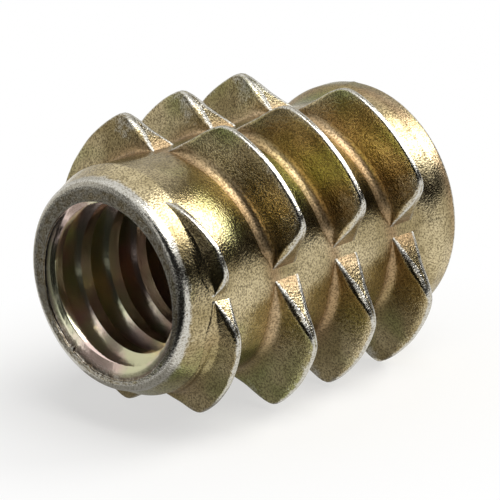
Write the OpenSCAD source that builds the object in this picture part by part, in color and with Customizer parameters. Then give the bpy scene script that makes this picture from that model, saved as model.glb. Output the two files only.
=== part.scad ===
// Threaded insert for wood: a die-cast sleeve with a coarse outer knife thread, cut by four
// parting notches into short curved ridges, a tapped bore and a hex drive socket.
// It lies on the corners of two rows of ridges, with its axis along Y and the entry end at -Y.

/* [Body] */
// Overall length along the axis
length = 12.5; // [11:0.5:15.5]
// Diameter of the core between the ridges
core_d = 7.7; // [7.6:0.1:8]
// Diameter of the entry rim, behind its bevel
rim_d = 7.05; // [6.95:0.05:7.3]
// Length of the neck that widens from the rim to the core
neck_len = 0.95; // [0.75:0.05:1.4]
// Size of the bevel on the edge of the entry rim
rim_bevel = 0.25; // [0.15:0.05:0.3]
// Diameter of the collar at the drive end
collar_d = 8.5; // [8.3:0.1:8.8]
// Length of the collar, with the flare that leads up to it
collar_len = 1.6; // [1.3:0.1:1.9]
// Size of the bevel on the edge of the collar
collar_bevel = 0.2; // [0.1:0.05:0.3]

/* [Knife thread] */
// Outside diameter of the knife thread
thread_d = 11; // [10.6:0.1:12]
// Distance between neighbouring turns
pitch = 2.88; // [2.64:0.12:3.12]
// Width of the worn crest
crest_w = 0.2; // [0.1:0.05:0.3]
// Lean of the flank that faces the entry end
entry_flank_deg = 9; // [6:1:14]
// Lean of the flank that faces the drive end
drive_flank_deg = 20; // [14:1:24]
// Size of the fillet between a ridge and the core
root_fillet = 0.35; // [0.1:0.05:0.4]
// Diameter of the first crest, level with the entry rim
lead_in_d = 8.5; // [8.3:0.1:9]
// Length over which the crest grows to its full diameter
lead_in_len = 3.8; // [3:0.2:4.8]

/* [Ridge ends] */
// Angle of crest at full height on one ridge
crest_span_deg = 45; // [40:1:50]
// Angle taken by the facet at the end where the thread enters
lead_facet_deg = 22; // [18:1:24]
// Angle taken by the steeper facet at the other end
trail_facet_deg = 14; // [12:1:18]
// Angle by which the first ridge starts late
first_ridge_late_deg = 33; // [20:1:40]

/* [Bore] */
// Minor diameter of the 1/4-20 machine thread
bore_d = 5.2; // [5:0.05:5.25]
// Diameter of the countersink in the entry face
entry_d = 5.95; // [5.8:0.05:6.1]

/* [Drive socket] */
// Width across the flats of the hex socket
hex_af = 6; // [5.9:0.1:6.2]
// Depth of the hex socket
hex_depth = 4; // [3.5:0.25:4.75]
// Size of the bevel around the mouth of the socket
mouth_bevel = 0.3; // [0.15:0.05:0.35]

/* [Hidden] */
$fn = 96;

LOBES = 4;
RIDGE_STEPS = 20;
SECTION_CORNERS = 6;
CORNER_SHARPNESS = 30;
RIDGE_ROOT = 0.36;
SINK_DEG = 3;
CUT = 1;

core_r = core_d / 2;
rim_r = rim_d / 2;
collar_r = collar_d / 2;
thread_r = thread_d / 2;
bore_r = bore_d / 2;
entry_r = entry_d / 2;
hex_corner_r = hex_af / 2 / cos(30);
lobe_deg = 360 / LOBES;
crest_half_deg = crest_span_deg / 2;

// The crest passes the side of the insert this far behind the entry face.
first_crest = 0.44 * pitch;
last_crest = length - collar_len;
ridge_count = floor((last_crest - first_crest) / pitch * LOBES + 0.5) + 1;

// One ridge in its own polar frame, u = 0 at the middle of its crest.
lead_foot = crest_half_deg + lead_facet_deg;
trail_foot = crest_half_deg + trail_facet_deg;

function polar(r, u) = [r * cos(u), r * sin(u)];

// 1/radius, at angle u, of the straight facet from the core to the full crest.
function facet_inverse(u, foot, corner) =
    let (
        low = polar(core_r, foot),
        along = polar(thread_r, corner) - low
    )
    max(0, cross(along, polar(1, u)) / cross(along, low));

// Crest radius where the thread grows out of the entry end.
function lead_in_r(y) =
    min(thread_r, lead_in_d / 2 + (thread_r - lead_in_d / 2) * max(0, y) / lead_in_len);

// Top of the ridge: the crest circle and both facets, blended at the corners.
function ridge_top(u, crest_r, late) =
    pow(
        pow(1 / crest_r, CORNER_SHARPNESS)
        + pow(facet_inverse(u - late, -lead_foot, -crest_half_deg), CORNER_SHARPNESS)
        + pow(facet_inverse(u, trail_foot, crest_half_deg), CORNER_SHARPNESS),
        -1 / CORNER_SHARPNESS
    );

// The ridge's section at angle u, as a loop of six corners: root, fillet and crest on the
// entry side, then crest, fillet and root on the drive side.
function ridge_section(index, u, late) =
    let (
        turn = lobe_deg * (index - 0.5) + u,
        y = first_crest + pitch * turn / 360,
        crest_r = lead_in_r(y),
        top = ridge_top(u, crest_r, late),
        root = core_r - RIDGE_ROOT,
        knee = min(core_r + root_fillet, (top + root) / 2),
        toe = max(0, knee - core_r) + RIDGE_ROOT,
        entry_side = function (r) y - crest_w / 2 - (crest_r - r) * tan(entry_flank_deg),
        drive_side = function (r) y + crest_w / 2 + (crest_r - r) * tan(drive_flank_deg)
    )
    [
        [each polar(root, turn), entry_side(knee) - toe],
        [each polar(knee, turn), entry_side(knee)],
        [each polar(top, turn), entry_side(top)],
        [each polar(top, turn), drive_side(top)],
        [each polar(knee, turn), drive_side(knee)],
        [each polar(root, turn), drive_side(knee) + toe]
    ];

function station(i, late) =
    let (from = late - lead_foot - SINK_DEG, to = trail_foot + SINK_DEG)
    from + (to - from) * i / RIDGE_STEPS;

// Height of the axis when two rows of ridge corners carry the insert.
axis_height = max([
    for (i = [0:RIDGE_STEPS], side = [-1, 1])
        ridge_top(station(i, 0), thread_r, 0) * sin(lobe_deg / 2 + side * station(i, 0))
]);

// One ridge of the knife thread, between two notches, with its root sunk in the core.
module knife_ridge(index) {
    late = index == 0 ? first_ridge_late_deg : 0;
    last = SECTION_CORNERS * RIDGE_STEPS;
    polyhedron(
        points = [
            for (i = [0:RIDGE_STEPS])
                each ridge_section(index, station(i, late), late)
        ],
        faces = [
            [0, 5, 4, 1],
            [1, 4, 3, 2],
            [last, last + 1, last + 4, last + 5],
            [last + 1, last + 2, last + 3, last + 4],
            for (i = [0:RIDGE_STEPS - 1], j = [0:SECTION_CORNERS - 1])
                let (
                    a = SECTION_CORNERS * i + j,
                    b = SECTION_CORNERS * i + (j + 1) % SECTION_CORNERS
                )
                each [[a, b, b + SECTION_CORNERS], [a, b + SECTION_CORNERS, a + SECTION_CORNERS]]
        ]
    );
}

// Core, neck and collar as one turned shape.
module sleeve() {
    rotate_extrude()
        polygon([
            [0, 0],
            [rim_r - rim_bevel, 0],
            [rim_r, rim_bevel],
            [core_r, neck_len],
            [core_r, length - collar_len],
            [collar_r, length - collar_len / 2],
            [collar_r, length - collar_bevel],
            [collar_r - collar_bevel, length],
            [0, length]
        ]);
}

// Tapping bore through the whole length, with the countersink at the entry end.
module machine_bore() {
    translate([0, 0, -CUT])
        cylinder(h = length + 2 * CUT, r = bore_r);
    translate([0, 0, -CUT])
        cylinder(h = CUT + entry_r - bore_r, r1 = entry_r + CUT, r2 = bore_r);
}

// Hex socket for the driving key, with a bevelled mouth.
module drive_socket() {
    translate([0, 0, length - hex_depth])
        cylinder(h = hex_depth + CUT, r = hex_corner_r, $fn = 6);
    translate([0, 0, length - mouth_bevel])
        cylinder(h = mouth_bevel + CUT, r1 = hex_corner_r - mouth_bevel / 2, r2 = hex_corner_r + CUT);
}

module insert_body() {
    color([0.64, 0.59, 0.43])
        translate([0, -length / 2, axis_height])
            rotate([-90, 0, 0])
                difference() {
                    union() {
                        sleeve();
                        for (index = [0:ridge_count - 1])
                            knife_ridge(index);
                    }
                    machine_bore();
                    drive_socket();
                }
}

insert_body();
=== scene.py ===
# %% [markdown]
# # A threaded insert for wood
# The real insert is one piece of die-cast zinc under a yellow chromate film. This lesson dresses
# its CAD solid: every surface is a function of two parameters, worked out with numpy, and one
# procedural material gives the cast grain, the film's colours and the bare metal of worn edges.

import bmesh
import bpy
import numpy as np
from mathutils import Matrix, Vector


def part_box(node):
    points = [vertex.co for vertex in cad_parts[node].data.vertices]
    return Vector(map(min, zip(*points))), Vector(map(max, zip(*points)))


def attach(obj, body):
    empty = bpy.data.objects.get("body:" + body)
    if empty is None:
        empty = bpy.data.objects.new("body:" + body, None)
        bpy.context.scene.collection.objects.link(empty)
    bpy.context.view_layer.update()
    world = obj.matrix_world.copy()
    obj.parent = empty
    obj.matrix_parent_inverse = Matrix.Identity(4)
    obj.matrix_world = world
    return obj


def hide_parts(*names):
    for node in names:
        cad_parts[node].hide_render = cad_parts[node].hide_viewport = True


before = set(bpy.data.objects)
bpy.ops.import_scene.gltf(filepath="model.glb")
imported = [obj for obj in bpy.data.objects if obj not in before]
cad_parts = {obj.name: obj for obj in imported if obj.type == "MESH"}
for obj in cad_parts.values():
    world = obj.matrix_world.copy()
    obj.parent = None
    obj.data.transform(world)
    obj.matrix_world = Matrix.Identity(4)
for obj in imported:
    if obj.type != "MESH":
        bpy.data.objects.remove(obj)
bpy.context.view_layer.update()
MM = 0.001
low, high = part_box("insert_body")
LENGTH = (high.y - low.y) / MM
ENTRY_Y = low.y / MM
AXIS_Z = (low.z + high.z) / 2 / MM
print(f"length {LENGTH:.2f} mm, axis {AXIS_Z:.3f} mm above the floor")

# %% [markdown]
# The sizes are the CAD solid's own. They are written again here, in millimetres, because the
# frame carries a mesh and not the values that made it.

# %% Sizes of the sleeve, in millimetres
CORE_R = 3.85
RIM_R = 3.525
NECK_LEN = 0.95
RIM_BEVEL = 0.25
COLLAR_R = 4.25
COLLAR_LEN = 1.6
COLLAR_BEVEL = 0.2
HEX_AF = 6.0
HEX_DEPTH = 4.0
HEX_BEVEL = 0.15
MOUTH_R = 2.975

# %% Sizes of the knife thread
THREAD_R = 5.5
PITCH = 2.88
CREST_W = 0.2
ENTRY_FLANK = np.radians(9)
DRIVE_FLANK = np.radians(20)
ROOT_FILLET = 0.35
LEAD_IN_R = 4.25
LEAD_IN_LEN = 3.8
LOBES = 4  # rows of ridges round the core
LOBE = np.radians(360 / LOBES)
CREST_HALF = np.radians(22.5)
LEAD_FOOT = CREST_HALF + np.radians(22)
TRAIL_FOOT = CREST_HALF + np.radians(14)
FIRST_LATE = np.radians(33)  # the first ridge starts this much later than the others
FIRST_RAMP = np.radians(32)
FIRST_CREST = 0.44 * PITCH
RIDGES = 14
print(f"{RIDGES} ridges, {PITCH} mm apart, {THREAD_R - CORE_R:.2f} mm high")

# %% [markdown]
# The bore takes a 1/4-20 screw, whose 60 degree thread has a pitch of 25.4 / 20 mm. Its crests are
# the flat wall that the drill left, so they are wider than the standard's narrowest.

# %% Sizes of the machine thread
SCREW_PITCH = 25.4 / 20
MINOR_R = 2.6
MAJOR_R = 3.175
SCREW_FLAT = 0.176  # half a crest, in turns
SCREW_ROOT = SCREW_FLAT + (MAJOR_R - MINOR_R) * np.tan(np.radians(30)) / SCREW_PITCH
SCREW_PHASE = 0.34  # depth of a crest on the side of -X
crest_width, root_width = 2 * SCREW_FLAT * SCREW_PITCH, (1 - 2 * SCREW_ROOT) * SCREW_PITCH
print(f"a crest is {crest_width:.2f} mm wide, a root {root_width:.2f} mm")

# %% [markdown]
# Every surface ends as rows and columns of points. Points on a turned shape are worked out as
# radius, angle and distance from the entry face, because that is how a lathe or a thread
# is described, and they are turned into X, Y and Z once, at the end.

# %% Helpers for grids
def smooth_step(t):
    """0 below 0, 1 above 1, and three t squared less two t cubed between."""
    t = np.clip(t, 0, 1)
    return t * t * (3 - 2 * t)


def to_frame(radius, angle, depth):
    """X is radius times cosine, Z the axis height plus radius times sine, and Y is the depth behind
    the entry face."""
    x, z = radius * np.cos(angle), AXIS_Z + radius * np.sin(angle)
    return np.stack(np.broadcast_arrays(x, ENTRY_Y + depth, z), axis=-1)


def quads(rows, cols, wrap_rows, partner=None):
    """Each face joins a point, its neighbour along the row, and the two across in the next row.

    The end of row i joins the start of row partner[i], which is row i itself where none is given."""
    partner = np.arange(rows) if partner is None else partner
    i = np.arange(rows if wrap_rows else rows - 1)[:, None]
    j = np.arange(cols)[None, :]
    down, right = (i + 1) % rows, (j + 1) % cols
    beside = np.where(j == cols - 1, partner[i], i)
    beside_down = np.where(j == cols - 1, partner[down], down)
    corners = [i * cols + j, beside * cols + right, beside_down * cols + right, down * cols + j]
    return np.stack([np.broadcast_to(c, (i.size, cols)) for c in corners], -1).reshape(-1, 4)


def ripple(angle, depth, seed, waves=7):
    """The mean of sine waves of fixed random rates: a casting's unevenness, from -1 to 1."""
    rng = np.random.default_rng(seed)
    turns = rng.integers(-9, 10, (waves, 1, 1))
    rate = rng.uniform(-3, 3, (waves, 1, 1))
    phase = rng.uniform(0, 2 * np.pi, (waves, 1, 1))
    return np.sin(turns * angle + rate * depth + phase).mean(axis=0)


# %% [markdown]
# The sleeve is walked once round in section: along the outside from the rim to the collar,
# across the drive face, down the hex socket and back through the tapped bore to the mouth.
# Each stretch is a block of rows, and the last row joins the first, so the shell is closed.
# The columns start at the hidden underside, where the flat coordinates may jump unseen.

# %% Outside of the sleeve
COLUMNS = 192
UNDERSIDE = -0.75 * np.pi
FLARE_SHARE = 0.62  # of the collar's length
SEAM_HALF_W = 0.11
SEAM_HEIGHT = 0.03
SEAM_FADE = 0.7
UNEVEN = 0.014
UNEVEN_SEED = 3
around = UNDERSIDE + np.linspace(0, 2 * np.pi, COLUMNS, endpoint=False)[None, :]


def outer_radius(depth):
    """Rim radius widening to the core over the neck, then an S-curve from the core up to the collar."""
    neck = RIM_R + (CORE_R - RIM_R) * np.clip((depth - RIM_BEVEL) / (NECK_LEN - RIM_BEVEL), 0, 1)
    flare = smooth_step((depth - (LENGTH - COLLAR_LEN)) / (COLLAR_LEN * FLARE_SHARE))
    return neck + (COLLAR_R - CORE_R) * flare


def seam(angle, depth):
    """A bell curve round each quarter turn, where the die's slides met, faded out on the neck."""
    off = (angle + LOBE / 2) % LOBE - LOBE / 2
    bell = SEAM_HEIGHT * np.exp(-((off * CORE_R / SEAM_HALF_W) ** 2))
    return bell * smooth_step((depth - NECK_LEN) / SEAM_FADE)


def sleeve_radius(angle, depth):
    """The turned radius, the seams, and the casting's unevenness."""
    return outer_radius(depth) + seam(angle, depth) + UNEVEN * ripple(angle, depth, UNEVEN_SEED)


# %% Rows of the outside
BEVEL_STEPS = 7
NECK_ROWS = 18
CORE_ROWS = 99
arc = np.linspace(0, np.pi / 2, BEVEL_STEPS)[:, None]
bevel_depth = RIM_BEVEL * (1 - np.sin(arc))[::-1]
bevel_r = RIM_R - RIM_BEVEL * (1 - np.cos(arc))[::-1]
neck_rows = np.linspace(RIM_BEVEL, NECK_LEN, NECK_ROWS + 1)[1:]
core_rows = np.linspace(NECK_LEN, LENGTH - COLLAR_BEVEL, CORE_ROWS + 1)[1:]
side_depth = np.append(neck_rows, core_rows)[:, None]
side_r = sleeve_radius(around, side_depth)
end_arc = arc[1:]
end_depth = LENGTH - COLLAR_BEVEL + COLLAR_BEVEL * np.sin(end_arc)
end_r = COLLAR_R - COLLAR_BEVEL * (1 - np.cos(end_arc))
print(f"outside of the sleeve: {side_depth.size} rows of {COLUMNS}")

# %% [markdown]
# A hexagon's radius is its half width divided by the cosine of the angle from the nearest flat.
# The tap runs through the whole bore, so the screw thread also bites a little into the flats.
# Rows square to the axis would cut across the thread and notch its edges, so the rows climb with
# the helix instead, and lie on the thread's corners. After one turn a row is one pitch further
# on, so its end joins the start of another row. The cone at the mouth has plain rows, and what the
# tap pushed out hangs on its lip as a ragged burr.

# %% Inside of the sleeve
LIP = 0.1
MOUTH_SLOPE = 1.6
BURR = 0.03
BURR_WAVES = 9
BURR_LEVEL = 0.5
BURR_SEED = 8
BURR_DEPTH = 0.07
BURR_AT = np.radians(236)
BURR_SPAN = np.radians(26)


def hex_radius(angle):
    """Half the width across flats over the cosine of the angle from the nearest flat.

    A corner is at angle 0."""
    return HEX_AF / 2 / np.cos(angle % (np.pi / 3) - np.pi / 6)


def screw_radius(angle, depth):
    """Minor radius on a crest, major radius half a pitch away, and a straight 60 degree flank between."""
    turns = (depth - SCREW_PHASE) / SCREW_PITCH + (angle - np.pi) / (2 * np.pi)
    from_crest = np.abs((turns + 0.5) % 1 - 0.5)
    up_flank = np.clip((from_crest - SCREW_FLAT) / (SCREW_ROOT - SCREW_FLAT), 0, 1)
    return MINOR_R + (MAJOR_R - MINOR_R) * up_flank


def bore_radius(angle, depth):
    """The thread, opened by a cone at the mouth, behind a short lip of constant radius."""
    opened = np.maximum(screw_radius(angle, depth), MOUTH_R - MOUTH_SLOPE * depth)
    behind = smooth_step((depth - LIP / 2) / LIP)
    return MOUTH_R * (1 - behind) + opened * behind


def burr(angle):
    """What rises above a level in a sum of fast sine waves, times a bell curve round one stretch."""
    rng = np.random.default_rng(BURR_SEED)
    rate = rng.integers(20, 90, (BURR_WAVES, 1))
    phase = rng.uniform(0, 2 * np.pi, (BURR_WAVES, 1))
    wave = np.sin(rate * angle + phase).sum(axis=0, keepdims=True)
    off = (angle - BURR_AT + np.pi) % (2 * np.pi) - np.pi
    stretch = np.exp(-((off / BURR_SPAN) ** 2))
    return BURR * np.maximum(0, wave - BURR_LEVEL) * stretch


# %% Rows that climb with the thread
CORNER = 0.012  # a row this close before the corner of a crest keeps it crisp
ON_FLANK = (0.21, 0.27, 0.34, 0.4)  # turns from the middle of a crest
SPARE_TURNS = 3
half_turn = np.array([0, SCREW_FLAT - CORNER, SCREW_FLAT, *ON_FLANK, SCREW_ROOT])
thread_phases = np.concatenate([-half_turn[:0:-1], half_turn, [0.5]])


def climbing_rows(start, end):
    """Depths of rows that climb with the thread, cut off at both ends, and the partner of each row.

    A row's depth is its own at the first column, less the pitch times the share of a turn."""
    first_turns = (UNDERSIDE - np.pi) / (2 * np.pi)
    whole = np.arange(np.floor(start / SCREW_PITCH) - SPARE_TURNS, end / SCREW_PITCH + SPARE_TURNS)[:, None]
    own = SCREW_PHASE + SCREW_PITCH * ((whole + thread_phases).ravel() - first_turns)
    begin = np.searchsorted(own, start, "right") - 1
    stop = np.searchsorted(own, end + SCREW_PITCH) + 1
    own = own[begin:stop, None]
    share = (around - UNDERSIDE) / (2 * np.pi)
    partner = np.maximum(np.arange(own.size) - thread_phases.size, 0)
    return np.clip(own - SCREW_PITCH * share, start, end)[::-1], own.size - 1 - partner[::-1]


# %% Rows of the inside
SOCKET_FLOOR = LENGTH - HEX_DEPTH
MOUTH_LEN = 0.42
MOUTH_ROWS = 29
FACE_ROWS = 4
RING_ROWS = 4
face_mix = np.linspace(0, 1, FACE_ROWS + 1)[1:, None]
face_r = (COLLAR_R - COLLAR_BEVEL) * (1 - face_mix) + (hex_radius(around) + HEX_BEVEL) * face_mix
socket_depth, socket_partner = climbing_rows(SOCKET_FLOOR, LENGTH - HEX_BEVEL)
socket_r = np.maximum(hex_radius(around), screw_radius(around, socket_depth))
bore_depth, bore_partner = climbing_rows(MOUTH_LEN, SOCKET_FLOOR)
mouth_depth = np.linspace(MOUTH_LEN, 0, MOUTH_ROWS + 1)[1:, None] * np.ones((1, COLUMNS))
bore_partner = np.append(bore_partner, len(bore_depth) + np.arange(len(mouth_depth)))
bore_depth = np.vstack([bore_depth, mouth_depth])
bore_r = bore_radius(around, bore_depth) - burr(around) * np.exp(-bore_depth / BURR_DEPTH)
ring_mix = np.linspace(0, 1, RING_ROWS + 2)[1:-1, None]
ring_r = MOUTH_R * (1 - ring_mix) + (RIM_R - RIM_BEVEL) * ring_mix
print(f"tapped bore: {len(bore_depth)} rows, {SOCKET_FLOOR / SCREW_PITCH:.1f} turns of thread")

# %% [markdown]
# Each stretch also carries three values that the material reads: how worn it is, how deep it lies
# in a hollow, and how far inside the bore. Further in that last value drops, and the material paints
# the bore darker there as painted shade. They are 0 to 1, and a stretch that is even has one number.

# %% Wear, hollows and inside of each stretch
RIM_WORN = 0.9
EDGE_WORN = 0.8
EDGE_FADE = 0.12
LIP_FADE = 0.1
COLLAR_WORN = 0.6
COLLAR_HOLLOW = 0.3
FACE_WORN = 0.25
SOCKET_WORN = 0.2
RING_WORN = 0.55
# the inside value deep in the bore, which the material paints darker as painted shade
DEEP_SHADE = 0.6
INSIDE_FADE = 0.15
FOOT_HOLLOW = 0.5
FOOT_TURNS = 0.88  # from a crest to the foot of the next entry flank
FOOT_HALF_W = 0.1
HOLLOW_FADE = 0.6


def before_ridge(angle, depth):
    """A bell curve of the distance, in turns, from the foot of the nearest entry flank."""
    turns = (depth - FIRST_CREST) / PITCH + angle / (2 * np.pi)
    return np.exp(-(((turns - FOOT_TURNS + 0.5) % 1 - 0.5) / FOOT_HALF_W) ** 2)


def row_block(radius, depth, worn, hollow, inside):
    """Stretches each value over the whole block, so that the blocks stack into one grid."""
    shape = (np.broadcast(radius, depth).shape[0], COLUMNS)
    return [np.broadcast_to(v, shape) for v in (radius, depth, worn, hollow, inside)]


bore_inside = np.clip(bore_depth / INSIDE_FADE, 0, 1)
# Further in the value falls, and the material paints the bore darker there as painted shade.
bore_inside = bore_inside * (1 - (1 - DEEP_SHADE) * smooth_step(bore_depth / SOCKET_FLOOR))
side_worn = EDGE_WORN * np.exp(-(side_depth - RIM_BEVEL) / EDGE_FADE)
side_hollow = FOOT_HOLLOW * before_ridge(around, side_depth)
side_hollow = side_hollow * smooth_step((side_depth - NECK_LEN) / HOLLOW_FADE)
lip_worn = EDGE_WORN * np.exp(-bore_depth / LIP_FADE)
blocks = [
    row_block(bevel_r, bevel_depth, RIM_WORN, 0.0, 0.0),
    row_block(side_r, side_depth, side_worn, side_hollow, 0.0),
    row_block(end_r, end_depth, COLLAR_WORN, COLLAR_HOLLOW, 0.0),
    row_block(face_r, LENGTH, FACE_WORN, 0.0, 0.0),
    # the socket gets the bore's darkest painted shade
    row_block(socket_r, socket_depth, SOCKET_WORN, 0.0, DEEP_SHADE),
    row_block(bore_r, bore_depth, lip_worn, 0.0, bore_inside),
    row_block(ring_r, 0.0, RING_WORN, 0.0, 0.0),
]
radius, depth, sleeve_worn, sleeve_hollow, sleeve_inside = [np.vstack(c) for c in zip(*blocks)]
rows = radius.shape[0]
print(f"{len(blocks)} stretches, {rows} rows in all")

# %% [markdown]
# Neither the rim, the mouth nor the tapped thread is quite on the casting's axis. Each gets a small
# sideways shift in X and Z: the rim's fades behind the neck, the mouth's within a few tenths of a
# millimetre, and the thread's slowly towards the socket.

# %% Sleeve as one closed grid
RIM_SHIFT = np.array([-0.04, 0.08])
MOUTH_SHIFT = np.array([0.01, -0.09])
THREAD_SHIFT = np.array([-0.02, 0.21])
MOUTH_FADE = 0.3
RIM_FADE = 1.4
ring_start = rows - ring_r.size
bore_start = ring_start - len(bore_depth)
socket_start = bore_start - len(socket_depth)
shift = RIM_SHIFT * np.exp(-((depth[..., None] / RIM_FADE) ** 2))
at_mouth = np.exp(-((bore_depth[..., None] / MOUTH_FADE) ** 2))
along = 1 - bore_depth[..., None] / SOCKET_FLOOR
shift[bore_start:ring_start] = MOUTH_SHIFT * at_mouth + THREAD_SHIFT * along * (1 - at_mouth)
shift[ring_start:] = (MOUTH_SHIFT * (1 - ring_mix) + RIM_SHIFT * ring_mix)[:, None, :]
sleeve_points = to_frame(radius, around, depth)
sleeve_points[..., [0, 2]] += shift
partner = np.arange(rows)
partner[bore_start:ring_start] = bore_start + bore_partner
partner[socket_start:bore_start] = socket_start + socket_partner
sleeve_faces = quads(rows, COLUMNS, True, partner)
sleeve_uv = np.stack([np.broadcast_to(around * CORE_R, depth.shape), depth], -1)
print(f"sleeve: {sleeve_faces.shape[0] * 2} triangles")

# %% [markdown]
# The knife thread is the part that takes skill. A thin ridge climbs round the core as a helix, and
# four notches a turn cut it into curved pieces whose ends are flat facets. Each piece is one section
# carried along the helix: toe, fillet, flank, rounded edge and crest, then the same back down.
# The foot follows the sleeve under it, so that no step shows on the neck or at the collar.
# The rows differ at their trailing ends. In one the die has worn, and the corner is the blunter the
# nearer it is to the rim. In another the corners reach a few degrees further and are rounder, and
# its first ridge, which starts late beside the rim, is also lower than the rest.

# %% Height of one ridge
SHARPNESS = 30
ROUNDED = 20
SINK = np.radians(2)
STATIONS = 58
WAVE = 0.012
WAVE_SEED = 11
WAVE_START = 0.6
BLUNT = np.radians(10)
BLUNT_LOBE = 1
FIRST_SHARE = 0.78
FIRST_LONGER = np.radians(6)
LONGER = np.radians(3.5)


def cross2(ax, ay, bx, by):
    """The flat cross product: how far b lies to the left of a."""
    return ax * by - ay * bx


def facet_inverse(u, foot, corner):
    """One over the radius, at angle u, of the line from the core at foot to the crest at corner.

    It is the cross product of the line with the direction u, over that with its own start."""
    low_x, low_y = CORE_R * np.cos(foot), CORE_R * np.sin(foot)
    along_x = THREAD_R * np.cos(corner) - low_x
    along_y = THREAD_R * np.sin(corner) - low_y
    level = cross2(along_x, along_y, np.cos(u), np.sin(u))
    return np.maximum(1e-3, level / cross2(along_x, along_y, low_x, low_y))


def lead_in(y):
    """The crest grows in a straight line from its first radius to the full one."""
    return np.minimum(THREAD_R, LEAD_IN_R + (THREAD_R - LEAD_IN_R) * np.maximum(0, y) / LEAD_IN_LEN)


def trailing_end(index):
    """Angles of the trailing facet's foot and corner, and the power that sets how sharp both are."""
    if index == 0:
        return TRAIL_FOOT + FIRST_LONGER, CREST_HALF + FIRST_LONGER, ROUNDED
    if index % LOBES == 0:
        return TRAIL_FOOT + LONGER, CREST_HALF + LONGER, ROUNDED
    if index % LOBES == BLUNT_LOBE:
        return TRAIL_FOOT, CREST_HALF - BLUNT * (1 - index / RIDGES), SHARPNESS
    return TRAIL_FOOT, CREST_HALF, SHARPNESS


def ridge_top(u, crest_r, late, index):
    """The lowest of the crest circle and two facets, as a sum of high powers that rounds the corners."""
    foot, corner, power = trailing_end(index)
    lead = facet_inverse(u - late, -LEAD_FOOT, -CREST_HALF)
    trail = facet_inverse(u, foot, corner)
    return sum(p**power for p in (1 / crest_r, lead, trail)) ** (-1 / power)


# %% [markdown]
# A fillet circle is tangent to the core and the flank when its centre stands off the foot of the
# flank by its radius times (1 - sine of the lean) over the cosine. The crest's edge is the same
# circle turned over.

# %% Section of one ridge
FILLET_STEPS = 7
FLANK_STEPS = 5
EDGE_STEPS = 4
EDGE_ROUND = 0.08
EDGE_GROWTH = 0.25
TOP_STEPS = 6
WEAR_DEPTH = 0.055
FILLET_SHARE = 0.36  # of the ridge's height, where it is too low for the whole fillet
EDGE_SHARE = 0.4
LEAST_HEIGHT = 0.02
TOE_OUT = np.array([[0.12, 0.12, 0.08]])
TOE_DOWN = np.array([[0.17, 0.07, 0.014]])


def half_section(lean, crest_r, top, sleeve_r):
    """From toe to crest on one side, as distance from the middle, radius and wear.

    The flank stands half the crest's width out, plus its height below the full crest times the
    tangent of the lean. The sleeve's radius is a function of the same distance."""
    base = sleeve_r(CREST_W / 2 + (crest_r - CORE_R) * np.tan(lean) + ROOT_FILLET / 2)
    height = np.maximum(top - base, LEAST_HEIGHT)
    sunk = height - (top - base)
    fillet = np.minimum(ROOT_FILLET, FILLET_SHARE * height)
    edge = np.minimum(EDGE_ROUND + EDGE_GROWTH * (crest_r - top), EDGE_SHARE * height)
    offset = (1 - np.sin(lean)) / np.cos(lean)

    def half_width(r):
        return CREST_W / 2 + (crest_r - r) * np.tan(lean)

    full_top = base + height
    foot = half_width(base)
    t = np.linspace(1.5 * np.pi, np.pi + lean, FILLET_STEPS)[None, :]
    fillet_y = foot + fillet * (offset + np.cos(t))
    fillet_r = base + fillet * (1 + np.sin(t))
    fillet_r = fillet_r + (sleeve_r(fillet_y) - base) * np.linspace(1, 0, FILLET_STEPS)
    start, end = fillet_r[:, -1:], full_top - edge * (1 - np.sin(lean))
    mix = np.linspace(0, 1, FLANK_STEPS + 1)[None, 1:-1]
    flank_r = start + (end - start) * mix
    t = np.linspace(lean, np.pi / 2, EDGE_STEPS)[None, :]
    edge_y = half_width(full_top) - edge * offset + edge * np.cos(t)
    edge_r = full_top - edge + edge * np.sin(t)
    toe_y = foot + fillet * offset + TOE_OUT
    y = np.hstack([toe_y, fillet_y, half_width(flank_r), edge_y])
    r = np.hstack([sleeve_r(toe_y) - TOE_DOWN, fillet_r, flank_r, edge_r]) - sunk
    worn = np.exp(-np.maximum(0, full_top - r - sunk) / WEAR_DEPTH)
    return y, r, worn


# %% One ridge
END_WORN = 0.55
END_START = 0.6  # of the way from the middle of the ridge to its corner
END_RISE = 0.15
END_HEIGHT = 1.2
FILLET_HOLLOW = 0.55
HOLLOW_START = 1.2
HOLLOW_RISE = 0.8


def ridge(index):
    """Points, wear, hollow and flat coordinates of one ridge: its section at stations on the helix.

    The distance along the axis is the pitch times the share of a turn."""
    late = FIRST_LATE if index == 0 else 0.0
    u = np.linspace(late - LEAD_FOOT - SINK, trailing_end(index)[0] + SINK, STATIONS)[:, None]
    turn = LOBE * (index - 0.5) + u
    y = FIRST_CREST + PITCH * turn / (2 * np.pi)
    crest_r = lead_in(y)
    if index == 0:
        grown = np.clip((u + LEAD_FOOT - late) / FIRST_RAMP, 0, 1)
        crest_r = CORE_R + FIRST_SHARE * (crest_r - CORE_R) * grown
    top = ridge_top(u, crest_r, late, index)
    grown_in = smooth_step((top - CORE_R) / WAVE_START)
    top = top - WAVE * (1 + ripple(turn * 4, y * 3, WAVE_SEED)) * grown_in
    entry = half_section(ENTRY_FLANK, crest_r, top, lambda out: sleeve_radius(-turn, y - out))
    drive = half_section(DRIVE_FLANK, crest_r, top, lambda out: sleeve_radius(-turn, y + out))
    return join_section(turn, y, u, entry, drive)


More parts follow.
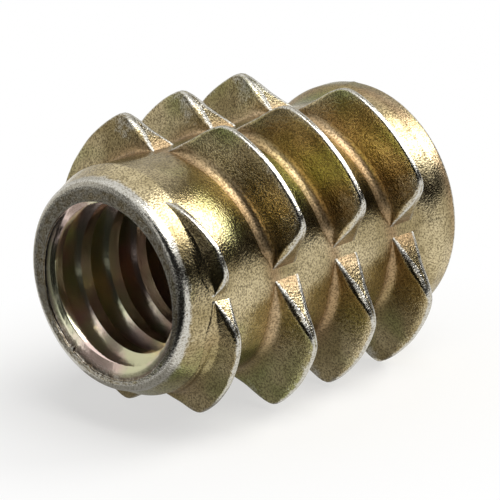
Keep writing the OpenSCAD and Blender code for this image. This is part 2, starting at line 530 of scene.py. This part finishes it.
def join_section(turn, y, u, entry, drive):
    """Lays the two half sections back to back, with straight lines across the crest between them."""
    (entry_y, entry_r, entry_worn), (drive_y, drive_r, drive_worn) = entry, drive
    across = np.linspace(0, 1, TOP_STEPS + 2)[None, 1:-1]
    width = entry_y[:, -1:] + drive_y[:, -1:]
    top_y = -entry_y[:, -1:] + width * across
    top_r = entry_r[:, -1:] + (drive_r[:, -1:] - entry_r[:, -1:]) * across
    top_worn = np.exp(-width * np.minimum(across, 1 - across) / WEAR_DEPTH)
    depth = y + np.hstack([-entry_y, top_y, drive_y[:, ::-1]])
    radius = np.hstack([entry_r, top_r, drive_r[:, ::-1]])
    worn = np.hstack([entry_worn, top_worn, drive_worn[:, ::-1]])
    rubbed_end = smooth_step((u - CREST_HALF * END_START) / END_RISE)
    rubbed_end = rubbed_end * smooth_step((radius - CORE_R) / END_HEIGHT)
    worn = np.maximum(worn, END_WORN * rubbed_end)
    hollow = FILLET_HOLLOW * (1 - smooth_step((radius - CORE_R) / HOLLOW_FADE))
    hollow = hollow * smooth_step((y - HOLLOW_START) / HOLLOW_RISE)
    angle = np.broadcast_to(-turn, depth.shape)
    uv = np.stack([angle * CORE_R, depth], -1)
    return to_frame(radius, angle, depth), worn, hollow, uv


# %% [markdown]
# The sleeve and the ridges are one casting, so they become one mesh. Each shell's signed volume
# says whether its faces point outwards, and a shell that is inside out is turned over. Where the
# climbing rows were cut off they lie on one another, and merging those points leaves no open edge.

# %% Join into one piece
def closed_volume(points, faces):
    """A sixth of the sum, over all triangles, of the corner vectors' triple product."""
    tris = np.vstack([faces[:, [0, 1, 2]], faces[:, [0, 2, 3]]])
    a, b, c = (points[tris[:, k]] for k in range(3))
    return np.einsum("ij,ij->i", a, np.cross(b, c)).sum() / 6


def outward(points, faces):
    """The faces, turned over where the volume they close is negative."""
    return faces[:, ::-1] if closed_volume(points, faces) < 0 else faces


def ridge_shell(index):
    """A ridge with both ends closed by a fan about the middle of the end section."""
    grid, worn, hollow, uv = ridge(index)
    stations, cols, _ = grid.shape
    points = np.vstack([grid.reshape(-1, 3), grid[0].mean(0), grid[-1].mean(0)])
    n, j = stations * cols, np.arange(cols)
    nxt = (j + 1) % cols
    start_fan = np.stack([np.full(cols, n), nxt, j, j], -1)
    end_fan = np.stack([np.full(cols, n + 1), n - cols + j, n - cols + nxt, n - cols + nxt], -1)
    faces = np.vstack([quads(stations, cols, wrap_rows=False), start_fan, end_fan])
    flat = np.vstack([uv.reshape(-1, 2), uv[0, :1], uv[-1, :1]])
    values = [np.append(worn, [0, 0]), np.append(hollow, [1, 1]), np.zeros(n + 2)]
    return points, outward(points, faces), flat, values


# %% All shells as one set of points and faces
sleeve_flat = sleeve_points.reshape(-1, 3)
sleeve_values = [sleeve_worn.ravel(), sleeve_hollow.ravel(), sleeve_inside.ravel()]
shells = [(sleeve_flat, outward(sleeve_flat, sleeve_faces), sleeve_uv.reshape(-1, 2), sleeve_values)]
shells += [ridge_shell(index) for index in range(RIDGES)]
starts = np.cumsum([0] + [len(s[0]) for s in shells[:-1]])
points = np.vstack([s[0] for s in shells]) * MM
faces = np.vstack([s[1] + start for s, start in zip(shells, starts)])
flat_uv = np.vstack([s[2] for s in shells])
values = [np.concatenate(column) for column in zip(*(s[3] for s in shells))]
corners = [f[:3] if f[2] == f[3] else f for f in faces.tolist()]
corners = [f[1:] if f[0] == f[1] else f for f in corners]
triangles = sum(len(f) - 2 for f in corners)
print(f"threaded insert: {triangles} triangles, lowest point {points[:, 2].min() / MM:.3f} mm")

# %% Mesh with its attributes
SHARP = np.radians(50)
MERGE = 1e-4  # mm
mesh = bpy.data.meshes.new("threaded_insert")
mesh.from_pydata(points.tolist(), [], corners)
for name, column in zip(("worn", "hollow", "inside"), values):
    layer = mesh.attributes.new(name, "FLOAT", "POINT")
    layer.data.foreach_set("value", column.astype(np.float32))
uv_layer = mesh.uv_layers.new(name="unrolled")
corner_points = np.empty(len(mesh.loops), np.int32)
mesh.loops.foreach_get("vertex_index", corner_points)
uv_layer.data.foreach_set("uv", flat_uv[corner_points].astype(np.float32).ravel())
shape = bmesh.new()
shape.from_mesh(mesh)
bmesh.ops.remove_doubles(shape, verts=shape.verts, dist=MERGE * MM)
open_edges = sum(not edge.is_manifold for edge in shape.edges)
shape.to_mesh(mesh)
shape.free()
mesh.shade_smooth()
mesh.set_sharp_from_angle(angle=SHARP)
print(f"{len(mesh.polygons)} faces after merging the cut-off rows, {open_edges} open edges")
insert = bpy.data.objects.new("threaded_insert", mesh)
bpy.context.scene.collection.objects.link(insert)
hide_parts("insert_body")
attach(insert, "root")

# %% [markdown]
# Yellow chromate on die-cast zinc: zinc is a grey metal, and the thin chromate film over it gives
# straw, olive and pink interference colours that change from place to place. The casting leaves
# a fine grain, the film is rubbed through on crests and rims, and the die's slides drag fine
# scratches round the grooves. All of it is metal, so only colour, roughness and bump change.

# %% Material helpers
RGBA = {"data_type": "RGBA"}
MULTIPLY = {"operation": "MULTIPLY"}
MULTIPLY_ADD = {"operation": "MULTIPLY_ADD"}
MAXIMUM = {"operation": "MAXIMUM"}


def linear(hex_colour):
    """sRGB hex to the linear values that Blender works in."""
    srgb = np.array([int(hex_colour[i:i + 2], 16) for i in (1, 3, 5)]) / 255
    lin = np.where(srgb <= 0.04045, srgb / 12.92, ((srgb + 0.055) / 1.055) ** 2.4)
    return (*lin.tolist(), 1.0)


def node(tree, kind, settings=(), output=0, **links):
    """Adds one node with its settings, fills its sockets with values or links, and returns one output."""
    made = tree.nodes.new(kind)
    for name, value in dict(settings).items():
        setattr(made, name, value)
    for name, value in links.items():
        socket = made.inputs[int(name[1:])] if name[0] == "_" else made.inputs[name]
        if isinstance(value, bpy.types.NodeSocket):
            tree.links.new(value, socket)
        else:
            socket.default_value = value
    return made.outputs[output] if made.outputs else made


def per_mm(size):
    """Noise scale, in Object coordinates in metres, for a pattern of that size in millimetres."""
    return 1 / (size * MM)


def empty_material(name):
    """A node material with no nodes yet."""
    made = bpy.data.materials.new(name)
    made.use_nodes = True
    made.node_tree.nodes.clear()
    return made


# %% [markdown]
# The eye sees a speckled, half dull metal whose colour drifts. The grain of a casting this small is
# about 0.03 mm; it is drawn at 0.065 mm so that it shows. The die's own lumps are 0.3 mm, and the
# film's thickness, and so its colour, changes over 2 to 3 mm. Scratches are about 3 mm long and
# 0.08 mm apart, and follow the flat coordinates, which are millimetres round and along the core.

# %% Yellow chromated zinc: patterns
GRAIN_MM = 0.065
LUMP_MM = 0.3
PATCH_MM = 2.2
TINT_MM = 3.1
SCRATCH_LONG = 0.35
SCRATCH_FINE = 13.0

zinc = empty_material("yellow_chromated_die_cast_zinc")
tree = zinc.node_tree
where = node(tree, "ShaderNodeTexCoord", output="Object")
unrolled = node(tree, "ShaderNodeTexCoord", output="UV")
streaks = node(tree, "ShaderNodeMapping", Vector=unrolled, Scale=(SCRATCH_LONG, SCRATCH_FINE, 1.0))
worn = node(tree, "ShaderNodeAttribute", {"attribute_name": "worn"}, output="Fac")
hollow = node(tree, "ShaderNodeAttribute", {"attribute_name": "hollow"}, output="Fac")
inside = node(tree, "ShaderNodeAttribute", {"attribute_name": "inside"}, output="Fac")
outside = node(tree, "ShaderNodeMapRange", _0=inside, _3=1.0, _4=0.0)
patches = node(tree, "ShaderNodeTexNoise", Vector=where, Scale=per_mm(PATCH_MM), Detail=3.0)
lumps = node(tree, "ShaderNodeTexNoise", Vector=where, Scale=per_mm(LUMP_MM), Detail=3.0)
grain = node(tree, "ShaderNodeTexNoise", Vector=where, Scale=per_mm(GRAIN_MM), Detail=2.0, Roughness=0.6)
scratch = node(tree, "ShaderNodeTexNoise", Vector=streaks, Scale=1.0, Detail=4.0)

# %% [markdown]
# The film drifts from olive to straw over its patches, with green in places and copper in the
# hollows, and the pits of the grain are dark. In the bore, where the tap has cut clean metal, it is
# pale pink and green, and further in it is painted darker, as painted shade for the depth of the
# bore. Where wear and grain together pass a threshold the zinc itself shows, so that a rubbed edge
# is ragged and not a drawn line.

# %% Yellow chromated zinc: colours
OLIVE = "#A6966E"
GREEN = "#98A064"
STRAW = "#D6C69E"
COPPER = "#B8926F"
DARK_FILM = "#57492F"
BARE_ZINC = "#CFCCC2"
BORE_PINK = "#F6DDD2"
BORE_GREEN = "#ECECC8"
# painted shade: the dark brown deep in the bore
BORE_PAINTED_SHADE = "#75685A"

to_straw = node(tree, "ShaderNodeMapRange", _0=patches, _1=0.42, _2=0.62)
film = node(tree, "ShaderNodeMix", RGBA, 2, _0=to_straw, _6=linear(OLIVE), _7=linear(STRAW))
tints = node(tree, "ShaderNodeTexNoise", Vector=where, Scale=per_mm(TINT_MM), Detail=2.0)
to_tint = node(tree, "ShaderNodeMapRange", _0=tints, _1=0.5, _2=0.66, _3=0.0, _4=0.8)
film = node(tree, "ShaderNodeMix", RGBA, 2, _0=to_tint, _6=film, _7=linear(GREEN))
film = node(tree, "ShaderNodeMix", RGBA, 2, _0=hollow, _6=film, _7=linear(COPPER))
pits = node(tree, "ShaderNodeMapRange", _0=grain, _1=0.58, _2=0.36, _3=0.0, _4=0.5)
film = node(tree, "ShaderNodeMix", RGBA, 2, _0=pits, _6=film, _7=linear(DARK_FILM))
to_green = node(tree, "ShaderNodeMapRange", _0=patches, _1=0.44, _2=0.58)
bore_film = node(tree, "ShaderNodeMix", RGBA, 2, _0=to_green, _6=linear(BORE_PINK), _7=linear(BORE_GREEN))
# Painted shade: further into the bore the colour turns dark brown, where shade falls.
deep_shade = node(tree, "ShaderNodeMapRange", _0=inside, _1=0.9, _2=0.6)
bore_film = node(tree, "ShaderNodeMix", RGBA, 2, _0=deep_shade, _6=bore_film, _7=linear(BORE_PAINTED_SHADE))
lined = node(tree, "ShaderNodeMapRange", _0=inside, _2=0.5)
film = node(tree, "ShaderNodeMix", RGBA, 2, _0=lined, _6=film, _7=bore_film)

# %% Yellow chromated zinc: bare metal and dark specks
uneven = node(tree, "ShaderNodeMath", {"operation": "ADD"}, _0=grain, _1=lumps)
wear = node(tree, "ShaderNodeMath", MULTIPLY_ADD, _0=uneven, _1=0.9, _2=worn)
rubbed = node(tree, "ShaderNodeMapRange", _0=wear, _1=1.2, _2=1.65)
colour = node(tree, "ShaderNodeMix", RGBA, 2, _0=rubbed, _6=film, _7=linear(BARE_ZINC))
specks = node(tree, "ShaderNodeMapRange", _0=grain, _1=0.54, _2=0.34, _3=0.0, _4=0.5)
specks = node(tree, "ShaderNodeMath", MULTIPLY, _0=specks, _1=outside)
colour = node(tree, "ShaderNodeMix", RGBA, 2, _0=specks, _6=colour, _7=linear(DARK_FILM))

# %% [markdown]
# Hollows are duller than the rest, because nothing rubs them smooth, and the die drags deeper
# scratches there. Inside the bore the tap has cut the casting's grain away, so only the scratches
# and the lumps are left.

# %% Yellow chromated zinc: surface
ROUGH_FILM = 0.16
ROUGH_BARE = 0.17
BUMP_MM = 0.011

rough = node(tree, "ShaderNodeMapRange", _0=rubbed, _3=ROUGH_FILM, _4=ROUGH_BARE)
rough = node(tree, "ShaderNodeMath", MULTIPLY_ADD, _0=hollow, _1=0.35, _2=rough)
rough = node(tree, "ShaderNodeMath", MULTIPLY_ADD, _0=lined, _1=0.03, _2=rough)
grained = node(tree, "ShaderNodeMath", MULTIPLY, _0=grain, _1=outside)
dragged = node(tree, "ShaderNodeMath", MULTIPLY_ADD, _0=hollow, _1=1.2, _2=0.4)
scratched = node(tree, "ShaderNodeMath", MULTIPLY, _0=scratch, _1=dragged)
height = node(tree, "ShaderNodeMath", MULTIPLY_ADD, _0=scratched, _1=0.6, _2=grained)
height = node(tree, "ShaderNodeMath", MULTIPLY_ADD, _0=lumps, _1=0.8, _2=height)
bump = node(tree, "ShaderNodeBump", Strength=1.0, Distance=BUMP_MM * MM, Height=height)
metal = node(
    tree, "ShaderNodeBsdfPrincipled",
    **{"Base Color": colour, "Metallic": 1.0, "Roughness": rough, "Normal": bump},
)
node(tree, "ShaderNodeOutputMaterial", Surface=metal)
insert.data.materials.append(zinc)
print("material:", zinc.name)

# %% [markdown]
# The stage is a pale floor that runs out of sight. Metal shows what stands round it, so the light
# is one soft box behind and one above, and grey cards stand or lie where the metal should look
# dark, as in any product studio. Only reflections see the cards.

# %% Helpers for the stage
INSERT_MID = Vector((0, 0, AXIS_Z * MM))


def plane(name, size, matrix):
    """A square of that size, placed by a matrix applied to its corners."""
    half = size / 2
    square = [(-half, -half, 0), (half, -half, 0), (half, half, 0), (-half, half, 0)]
    made = bpy.data.meshes.new(name)
    made.from_pydata([tuple(matrix @ Vector(c)) for c in square], [], [(0, 1, 2, 3)])
    obj = bpy.data.objects.new(name, made)
    bpy.context.scene.collection.objects.link(obj)
    return obj


def card(name, centre, facing, width, height, material):
    """A flat card that only reflections see, placed in millimetres from the insert's middle."""
    turn = Vector(facing).normalized().to_track_quat("Z", "Y").to_matrix().to_4x4()
    scale = Matrix.Diagonal((width * MM, height * MM, 1, 1))
    place = Matrix.Translation(INSERT_MID + Vector(centre) * MM)
    made = plane(name, 1.0, place @ turn @ scale)
    made.visible_camera = made.visible_diffuse = made.visible_shadow = False
    made.data.materials.append(material)


def grey_card(name, level):
    """A card's grey is a faint even glow, so that it doesn't hang on where the lamps stand."""
    made = empty_material(name)
    warm = (level, level * 0.97, level * 0.9, 1.0)
    glow = node(made.node_tree, "ShaderNodeEmission", Color=warm, Strength=1.0)
    node(made.node_tree, "ShaderNodeOutputMaterial", Surface=glow)
    return made


# %% [markdown]
# Each card is named for where it is. The black ones in front, camera and room, darken the bore. The
# dim ones darken the entry flanks of the front rows of ridges, and the soft ones those of the back
# row. The one underneath is painted shade: it stands for the shade under the insert, and keeps the
# white floor out of the insert's belly. The black band behind and the black card at the right make
# the dark patches on core, neck and collar. The one at the top back takes the glare off the ends of
# the back row's ridges.

# %% Cards
black = grey_card("black_card", 0.015)
dim = grey_card("dim_card", 0.17)
half = grey_card("half_card", 0.32)
soft = grey_card("soft_card", 0.65)
FLOOR_Z = -AXIS_Z
card("card_camera", (32, -47, FLOOR_Z + 0.3), (0, 0, 1), 74, 74, black)
card("card_front", (-24, -47, FLOOR_Z + 0.3), (0, 0, 1), 38, 74, dim)
card("card_front_left", (-64, -47, FLOOR_Z + 0.3), (0, 0, 1), 42, 74, soft)
card("card_side", (-50, 4, FLOOR_Z + 0.3), (0, 0, 1), 70, 28, soft)
card("card_far", (-58, -97, 34), (0.5, 0.85, -0.2), 44, 80, dim)
card("card_far_left", (-98, -50, 34), (0.88, 0.45, -0.2), 80, 80, soft)
card("card_band", (19, 19, 7.4), (-0.7, -0.7, 0), 44, 11.6, black)
# Painted shade: a grey card under the insert, for the shade there as reflections see it.
card("card_under_painted_shade", (-0.6, -2, FLOOR_Z + 0.15), (0, 0, 1), 7, 14, half)
card("card_left", (-90, 74, 42), (0.75, -0.62, -0.35), 120, 100, soft)
card("card_room", (64, -100, 34), (-0.62, 0.78, -0.1), 208, 130, black)
card("card_right", (34.6, -14, 7.4), (-1, 0, 0), 35, 15, black)
card("card_top_back", (0, 44, 56), (0, -0.62, -0.78), 30, 24, half)

# %% [markdown]
# The white of the background is the floor's and the world's own, seen by the camera and by
# reflections only. Close to the insert the floor is in part plain paper, so it takes the shadow,
# and the paper's share fades out between the two distances. The paper's slight warm tint is
# painted light, for the warm light the insert throws on the floor beside it.

# %% Floor and world
PAPER_NEAR = 6
PAPER_FAR = 14
GLOW_NEAR = 0.6


def seen_as_background(tree):
    """1 for camera, glossy and transmission rays, 0 for the diffuse rays that light the object."""
    camera_ray, glossy_ray, through_ray = (
        node(tree, "ShaderNodeLightPath", output=f"Is {kind} Ray")
        for kind in ("Camera", "Glossy", "Transmission")
    )
    either = node(tree, "ShaderNodeMath", MAXIMUM, _0=camera_ray, _1=glossy_ray)
    return node(tree, "ShaderNodeMath", MAXIMUM, _0=either, _1=through_ray)


floor = plane("floor", 2.4, Matrix.Identity(4))
paper = empty_material("white_paper")
tree = paper.node_tree
# Painted light: the paper is tinted a little warm for the light the insert throws on it.
matt_with_painted_bounce = node(tree, "ShaderNodeBsdfDiffuse", Color=linear("#F4F2EC"))
glow = node(tree, "ShaderNodeEmission", Color=(1, 1, 1, 1), Strength=1.0)
where = node(tree, "ShaderNodeTexCoord", output="Object")
far = node(tree, "ShaderNodeVectorMath", {"operation": "LENGTH"}, "Value", _0=where)
share = node(tree, "ShaderNodeMapRange", _0=far, _1=PAPER_NEAR * MM, _2=PAPER_FAR * MM, _3=GLOW_NEAR, _4=1.0)
share = node(tree, "ShaderNodeMath", MULTIPLY, _0=share, _1=seen_as_background(tree))
mixed = node(tree, "ShaderNodeMixShader", _0=share, _1=matt_with_painted_bounce, _2=glow)
node(tree, "ShaderNodeOutputMaterial", Surface=mixed)
floor.data.materials.append(paper)

world = bpy.data.worlds.new("studio")
bpy.context.scene.world = world
world.use_nodes = True
tree = world.node_tree
tree.nodes.clear()
room = node(tree, "ShaderNodeBackground", Color=linear("#E8E8E8"), Strength=0.2)
white = node(tree, "ShaderNodeBackground", Color=(1, 1, 1, 1), Strength=1.0)
mixed = node(tree, "ShaderNodeMixShader", _0=seen_as_background(tree), _1=room, _2=white)
node(tree, "ShaderNodeOutputWorld", Surface=mixed)


# %% Soft boxes
def soft_box(name, direction, distance, size, power):
    """An area light at that distance in millimetres along a direction, turned towards the insert."""
    lamp = bpy.data.lights.new(name, "AREA")
    lamp.shape, lamp.size, lamp.energy = "SQUARE", size * MM, power
    obj = bpy.data.objects.new(name, lamp)
    aim = Vector(direction).normalized()
    obj.location = INSERT_MID + aim * distance * MM
    obj.rotation_mode = "QUATERNION"
    obj.rotation_quaternion = aim.to_track_quat("Z", "Y")
    bpy.context.scene.collection.objects.link(obj)


soft_box("back_box", (0.45, 0.69, 0.61), 140, 74, 0.14)
soft_box("top_box", (0.5, -0.08, 0.87), 150, 100, 0.132)
print("lamps:", [lamp.name for lamp in bpy.data.lights])

# %% [markdown]
# The camera stands where a macro lens would, three quarters on to the entry end and a little above.
# Its place is in millimetres, and its turn is given by the picture's own right and up directions.

# %% Camera
EYE = Vector((62.431, -63.596, 31.056))
RIGHT = Vector((0.72613, 0.68537, -0.05475))
UP = Vector((-0.15681, 0.24261, 0.95737))
BACK = RIGHT.cross(UP)
lens = bpy.data.cameras.new("macro")
lens.sensor_width = 36
lens.lens = 199.76
lens.clip_start = 0.001
camera = bpy.data.objects.new("macro", lens)
turn = Matrix((RIGHT, UP, BACK)).transposed()
camera.matrix_world = Matrix.Translation(EYE * MM) @ turn.to_4x4()
bpy.context.scene.collection.objects.link(camera)
bpy.context.scene.camera = camera
bpy.context.scene.view_settings.view_transform = "Standard"
print(f"camera {EYE.length:.0f} mm away, lens {lens.lens:.0f} mm")
